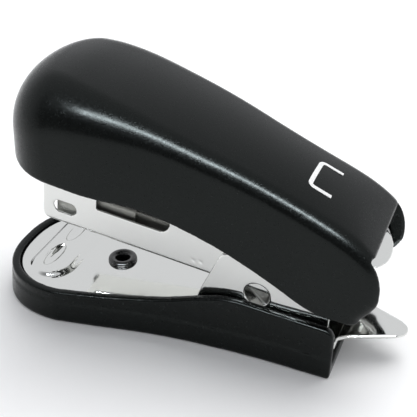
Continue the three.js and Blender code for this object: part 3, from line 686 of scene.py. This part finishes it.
def channel_field(x, y, z):
    far = np.abs(y)
    first, second = (np.hypot(x - station, z - height) for station, height in DIMPLES)
    dimple = np.minimum(first, second)
    side = far - CHANNEL_OUT + DIMPLE_DEPTH * np.clip(1 - dimple / DIMPLE_RADIUS, 0, 1)
    outside = both(both(side, CHANNEL_LOW - z, 0.9), CHANNEL_FRONT - x, 0.8)
    inside = both(both(far - CHANNEL_IN, CHANNEL_FLOOR - z, 0.4), CHANNEL_FRONT + FRONT_SHEET - x, 0.35)
    shell = both(np.maximum(outside, -inside), CHANNEL(x, z), SHEET_EDGE)
    mouth = np.maximum(np.maximum(far - FLOOR_HALF, x - MOUTH_REAR), z - MOUTH_TOP)
    floor_end = np.maximum(np.maximum(far - FLOOR_HALF, FLOOR_REAR - x), z - FLOOR_END_TOP)
    window = np.minimum(slot_distance(x, z, *WINDOW), rectangle(x, z, *WINDOW_END))
    slot = slot_distance(x, z, *SLOT)
    pin = np.hypot(x, z) - FRAME_BORE
    cuts = np.minimum(np.minimum(window, slot), np.minimum(np.minimum(mouth, floor_end), pin))
    return without(shell, cuts, SHEET_EDGE)


IN_MAGAZINE = {"body": "magazine", "tilt": MAGAZINE_TILT}
field_piece("channel_sheet", channel_field, (-51.6, -7.7, -6.6), (3.8, 7.7, 5.0), 0.18, slot="nickel_plate",
            material=NICKEL, replaced=["magazine_channel"], crisp=35, **IN_MAGAZINE)

CAP_FRONT, CAP_HALF = -6.6, 6.35
CAP_NECK, TAB_HALF, TAB_X, TAB_REACH = -1, 5.5, 1.6, 3.05  # the tab's end is half an ellipse, from TAB_X
CAP_TOP, CAP_SHEET = 4.85, 0.5
CAP_FALL = 0.03  # the tab falls away past its neck with the square of the distance
CAP_STEPS = ((0.12, 0, 0.5), (0.1, 0.7, 0.25))  # each one's height, place in from the edge and width
SEAT_REAR, SEAT_LOW = -6.1, -4.8  # the flange that holds the cap
ROD_HOLE_X, ROD_HOLE_Y, ROD_HOLE_Z = (-7.5, -5.5), (-0.9, 0.9), (-3.5, -1.7)
tab_end = [(TAB_X + TAB_REACH * math.cos(t), TAB_HALF * math.sin(t))
           for t in np.linspace(-math.pi / 2, math.pi / 2, 40)]
CAP = outline([(CAP_FRONT, -CAP_HALF), (CAP_NECK - 1, -CAP_HALF), (CAP_NECK, -TAB_HALF)] + tab_end
              + [(CAP_NECK, TAB_HALF), (CAP_NECK - 1, CAP_HALF), (CAP_FRONT, CAP_HALF)])


def cap_field(x, y, z):
    edge = CAP(x, y)
    steps = sum(height * np.clip(1 + (edge + inset) / width, 0, 1) for height, inset, width in CAP_STEPS)
    level = z + CAP_FALL * np.maximum(x - CAP_NECK, 0) ** 2
    sunk = level + steps * (level > CAP_TOP - 0.3)  # only the upper face is stepped
    top = both(edge, slab(sunk, CAP_TOP - CAP_SHEET, CAP_TOP), SHEET_EDGE)
    seat = box(x, y, z, (CAP_FRONT, SEAT_REAR), (-CAP_HALF, CAP_HALF), (SEAT_LOW, CAP_TOP - 0.2))
    rod_hole = box(x, y, z, ROD_HOLE_X, ROD_HOLE_Y, ROD_HOLE_Z)
    return either(top, np.maximum(seat, -rod_hole), 0.3)


field_piece("cap_sheet", cap_field, (-7.4, -7.2, -5.6), (6.0, 7.2, 5.6), 0.22, slot="nickel_plate",
            material=NICKEL, replaced=["rail_end_cap"], crisp=35, **IN_MAGAZINE)


ROD_Z = -2.6  # height of the guide rod and the coil round it
PUSHER_X, PUSHER_LOW = (-48.6, -34.6), -5.1
PUSHER_HALF, PUSHER_TOP, PUSHER_SHEET = 6.15, 0.75, 0.5
YOKE_X = (-36, -35.3)  # the plate that the coil pushes on


def pusher_field(x, y, z):
    far = np.abs(y)
    outside = both(both(far - PUSHER_HALF, z - PUSHER_TOP, 0.7), slab(x, *PUSHER_X), SHEET_EDGE)
    saddle = both(far - PUSHER_HALF + PUSHER_SHEET, z - PUSHER_TOP + PUSHER_SHEET, 0.3)
    sheet = np.maximum(np.maximum(outside, -saddle), PUSHER_LOW - z)
    yoke = box(x, y, z, YOKE_X, (-2.2, 2.2), (-4.8, -1.0))
    tab = box(x, y, z, YOKE_X, (-0.9, 0.9), (-1.5, 0.5))
    rod_hole = np.hypot(y, z - ROD_Z) - 0.8
    return np.minimum(sheet, np.maximum(np.minimum(yoke, tab), -rod_hole))


field_piece("pusher_sheet", pusher_field, (-49.4, -7, -6), (-33.8, 7, 1.6), 0.24, body="pusher",
            slot="nickel_plate", material=ZINC, replaced=["staple_pusher"], tilt=MAGAZINE_TILT)

COIL_FRONT, COIL_REAR, COIL_TURNS = -35.0, -7.0, 24
COIL_RADIUS, COIL_WIRE, COIL_END = 1.42, 0.2, 0.25  # the wire's middle stops COIL_END short of each end
coil_turns = np.linspace(0, COIL_TURNS, COIL_TURNS * 20)
coil_run = COIL_REAR - COIL_FRONT - 2 * COIL_END
coil_path = np.stack([COIL_FRONT + COIL_END + coil_run * coil_turns / COIL_TURNS,
                      COIL_RADIUS * np.cos(2 * math.pi * coil_turns),
                      ROD_Z + COIL_RADIUS * np.sin(2 * math.pi * coil_turns)], axis=1)
coil_points, coil_faces = tube(coil_path, COIL_WIRE, 8)
coil = mesh_piece("coil_spring", coil_points, coil_faces, slot="spring_steel", material=STEEL,
                  replaced=["pusher_spring"], **IN_MAGAZINE)
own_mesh(coil)

# ---------------------------------------------------------------- handle's steel, in its own frame

BRACKET_HALF, BRACKET_TOP = 8.3, 9.4
BRACKET_SIDE, BRACKET_ROOF = 0.4, 0.6  # thickness of its sides and its top
BRACKET = outline([(-50.8, BRACKET_TOP), (-50.8, 6.8), (-48.8, 4.8), (-11, 4.8)]
                  + arc(0, 0, 3.6, 220, 423, 24) + [(-5.5, 5.8), (-9.5, BRACKET_TOP)])
BRACKET_HOLES = ((POSTS[0], 1.1), (POSTS[1], 1.1), (-46.5, 1.2))  # for the two screws and the blade's rivet
IN_HANDLE = {"body": "handle", "tilt": HANDLE_TILT}


def bracket_field(x, y, z):
    far = np.abs(y)
    outside = both(far - BRACKET_HALF, z - BRACKET_TOP, 0.8)
    inside = both(far - BRACKET_HALF + BRACKET_SIDE, z - BRACKET_TOP + BRACKET_ROOF, 0.4)
    sheet = both(np.maximum(outside, -inside), BRACKET(x, z), SHEET_EDGE)
    sheet = np.maximum(sheet, FRAME_BORE - np.hypot(x, z))
    for station, radius in BRACKET_HOLES:
        sheet = np.maximum(sheet, radius - np.hypot(x - station, y))
    return sheet


field_piece("bracket_sheet", bracket_field, (-51.6, -9, -4.6), (5, 9, 10.2), 0.3, slot="spring_steel",
            material=STEEL, replaced=["handle_bracket"], **IN_HANDLE)

leaf_spring(
    "handle_leaf", [(-26, 8.55), (-20, 8.55), (-17, 8.5), (-13, 7.7), (-8, 6.4), (-4.6, 5.65), (-3.4, 5.6),
                    (-2.4, 6.0)],
    (-27, -4, 4.2), (-1.4, 4, 9.4), replaced=["handle_spring"], **IN_HANDLE)

# ---------------------------------------------------------------- printed mark

MARK_SPAN, MARK_FRONT, MARK_REAR = 3.4, -6.9, -3.6
MARK_LINE, MARK_BEND = 0.32, 0.7  # half the line's width, and the radius of the staple's corners
PAINT_TOP, PAINT_FOOT = 0.03, -0.05  # from the cover's top


def stroke(points, width):
    """A thin raised line of paint that follows the cover's top."""
    path = np.array(points, float)
    run = np.gradient(path, axis=0)
    run /= np.linalg.norm(run, axis=1)[:, None]
    side = np.stack([-run[:, 1], run[:, 0]], axis=1) * width
    rows = [(path + side, PAINT_TOP), (path - side, PAINT_TOP),
            (path - side, PAINT_FOOT), (path + side, PAINT_FOOT)]
    corners = [np.column_stack([row, crest(row[:, 0], row[:, 1]) + rise]) for row, rise in rows]
    count = len(path)
    faces = [(a * count + i, a * count + i + 1, b * count + i + 1, b * count + i)
             for a, b in ((0, 1), (1, 2), (2, 3), (3, 0)) for i in range(count - 1)]
    faces += [(0, count, 2 * count, 3 * count), (4 * count - 1, 3 * count - 1, 2 * count - 1, count - 1)]
    return np.vstack(corners), faces


bend_x, bend_y = MARK_FRONT + MARK_BEND, MARK_SPAN - MARK_BEND
mark = ([(x, -MARK_SPAN) for x in np.linspace(MARK_REAR, bend_x, 10)]
        + arc(bend_x, -bend_y, MARK_BEND, 270, 180, 8)[1:]
        + [(MARK_FRONT, y) for y in np.linspace(-bend_y, bend_y, 20)[1:]]
        + arc(bend_x, bend_y, MARK_BEND, 180, 90, 8)[1:]
        + [(x, MARK_SPAN) for x in np.linspace(bend_x, MARK_REAR, 10)[1:]])
mark_points, mark_faces = stroke(mark, MARK_LINE)
mesh_piece("staple_mark", mark_points, mark_faces, body="handle", slot="black_plastic",
           material=white_print(), crisp=40)

# ---------------------------------------------------------------- frame parts that stay

for name in ("staple_rail", "pusher_guide_rod", "magazine_spring_rivet", "driver_blade", "driver_rivet",
             "bracket_screw_front", "bracket_screw_rear"):
    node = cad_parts[name]
    node.data.materials.clear()
    node.data.materials.append(ZINC if name == "staple_rail" else STEEL)

# ---------------------------------------------------------------- floor, light and camera

FLOOR_REACH = 3  # metres
floor_mesh = bpy.data.meshes.new("floor")
floor_corners = [(FLOOR_REACH * a, FLOOR_REACH * b, 0) for a, b in ((-1, -1), (1, -1), (1, 1), (-1, 1))]
floor_mesh.from_pydata(floor_corners, [], [(0, 1, 2, 3)])
floor_mesh.materials.append(table_top())
floor = bpy.data.objects.new("floor", floor_mesh)
bpy.context.scene.collection.objects.link(floor)

CARD = (0.05, -0.9, 0.38)  # direction of a dark card in front of the object
CARD_EDGE, CARD_MIDDLE = 0.5, 0.8  # cosines of the angle from it, between which the light falls off
SKY_LIGHT, CARD_LIGHT = 0.88, 0.22

world = bpy.data.worlds.new("studio")
world.use_nodes = True
sky = world.node_tree
sky.nodes["Background"].inputs["Color"].default_value = (0.96, 0.97, 1.0, 1)
facing = sky.nodes.new("ShaderNodeVectorMath")
facing.operation = "DOT_PRODUCT"
facing.inputs[1].default_value = Vector(CARD).normalized()
strength = sky.nodes.new("ShaderNodeMapRange")
falloff = {"From Min": CARD_EDGE, "From Max": CARD_MIDDLE, "To Min": SKY_LIGHT, "To Max": CARD_LIGHT}
for key, value in falloff.items():
    strength.inputs[key].default_value = value
sky.links.new(sky.nodes.new("ShaderNodeTexCoord").outputs["Generated"], facing.inputs[0])
sky.links.new(facing.outputs["Value"], strength.inputs["Value"])
sky.links.new(strength.outputs["Result"], sky.nodes["Background"].inputs["Strength"])
bpy.context.scene.world = world


LIT_POINT = (0, 0, 0.02)  # what the lamps face


def softbox(name, place, size, power, colour=(1, 1, 1), gloss=True, diffuse=True):
    """A soft rectangular lamp that faces the object, in metres and watts.

    It can be left out of reflections, or show only there.
    """
    light = bpy.data.lights.new(name, "AREA")
    light.shape = "RECTANGLE"
    light.size, light.size_y = size
    light.energy = power
    light.color = colour
    lamp = bpy.data.objects.new(name, light)
    lamp.location = place
    lamp.rotation_euler = (Vector(LIT_POINT) - Vector(place)).to_track_quat("-Z", "Y").to_euler()
    lamp.visible_diffuse = diffuse
    lamp.visible_glossy = gloss
    bpy.context.scene.collection.objects.link(lamp)


COOL = (0.9, 0.94, 1.0)
softbox("overhead", place=(0.1, 0.5, 1.1), size=(0.9, 0.9), power=10.0, gloss=False)
softbox("front_strip", place=(0.07, -0.29, 0.4), size=(0.42, 0.065), power=4.9, colour=COOL, diffuse=False)

CAMERA = (19.7, -107.2, 94.0)  # worked out from the base's outline in the photo, as its direction is
LOOK, RIGHT = (-0.3169, 0.7784, -0.5417), (0.9262, 0.377, 0)

camera_data = bpy.data.cameras.new("camera")
camera_data.lens = 74.76
camera_data.sensor_width = 36
camera_data.clip_start = 0.005
camera = bpy.data.objects.new("camera", camera_data)
look = Vector(LOOK).normalized()
right = Vector(RIGHT).normalized()
up = right.cross(look)
turn = Matrix((right, up, -look)).transposed().to_4x4()
camera.matrix_world = Matrix.Translation((Vector(CAMERA) + Vector((REAR, 0, 0))) * MM) @ turn
bpy.context.scene.collection.objects.link(camera)
bpy.context.scene.camera = camera
bpy.context.scene.view_settings.view_transform = "Standard"
